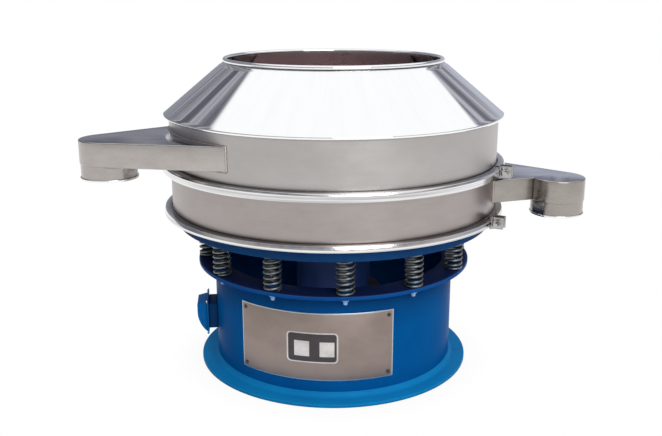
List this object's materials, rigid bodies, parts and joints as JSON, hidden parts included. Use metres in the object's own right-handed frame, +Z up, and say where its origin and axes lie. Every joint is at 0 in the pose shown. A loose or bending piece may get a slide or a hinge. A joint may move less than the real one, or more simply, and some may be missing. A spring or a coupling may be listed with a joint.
{
  "type": "vibrating sieve",
  "caption": "Round vibrating sieve: blue stand with coil springs, clamped stainless frames, feed cone and side spouts.",
  "frame": {"origin": "centre of the foot ring on the floor, on the machine axis", "axes": "+Z up along the machine axis, +X towards the lower spout's side, -Y towards the access cover"},
  "size_m": [1.4691, 1.05, 0.951],
  "materials": {
    "blue_paint": "gloss",
    "satin_stainless": "satin",
    "mirror_stainless": "polished",
    "spring_steel": "satin",
    "zinc_steel": "satin",
    "dark_screw": "satin",
    "seal_rubber": "matte",
    "plate_print": "satin",
    "motor_paint": "satin",
    "weight_iron": "rough",
    "woven_mesh": "satin"
  },
  "bodies": {
    "stand": {"foot_ring": "blue_paint", "barrel": "blue_paint", "spring_shelf": "blue_paint", "spring_studs": "blue_paint", "springs": "spring_steel", "access_cover": "satin_stainless", "cover_screws": "dark_screw", "rating_plate": "plate_print", "box_base": "blue_paint", "box_plate": "blue_paint", "terminal_box": "blue_paint", "cable_gland": "zinc_steel", "box_screws": "zinc_steel"},
    "vibrating_body": {"table": "blue_paint", "motor_housing": "motor_paint", "motor_bolts": "zinc_steel", "lower_seal": "seal_rubber", "lower_frame": "satin_stainless", "dome": "satin_stainless", "lower_spout_wall": "satin_stainless", "lower_spout_top": "satin_stainless", "lower_spout_floor": "satin_stainless", "lower_spout_pipe": "satin_stainless", "screen_frame": "satin_stainless", "screen_mesh": "woven_mesh", "screen_seal": "seal_rubber", "upper_frame": "satin_stainless", "upper_spout_wall": "satin_stainless", "upper_spout_top": "satin_stainless", "upper_spout_floor": "satin_stainless", "upper_spout_pipe": "satin_stainless", "lower_clamp": "mirror_stainless", "upper_clamp": "mirror_stainless", "clamp_bolts": "zinc_steel", "feed_cone": "mirror_stainless"},
    "rotor": {"motor_shaft": "zinc_steel", "upper_weight": "weight_iron", "lower_weight": "weight_iron", "shaft_nuts": "zinc_steel"},
    "trim": {"trim_weight": "weight_iron"}
  },
  "joints": [
    {"name": "table_bounce", "type": "slide", "parent": "stand", "child": "vibrating_body", "axis": [0, 0, 1], "range_m": [-0.006, 0.006], "stiffness_N_per_m": 177000, "springref_m": 0.01492, "deforming": ["springs"]},
    {"name": "motor_spin", "type": "hinge", "parent": "vibrating_body", "child": "rotor", "pos_m": [0, 0, 0.34], "axis": [0, 0, 1], "continuous": true},
    {"name": "weight_setting", "type": "hinge", "parent": "rotor", "child": "trim", "pos_m": [0, 0, 0.18], "axis": [0, 0, 1], "range_deg": [0, 90]}
  ]
}
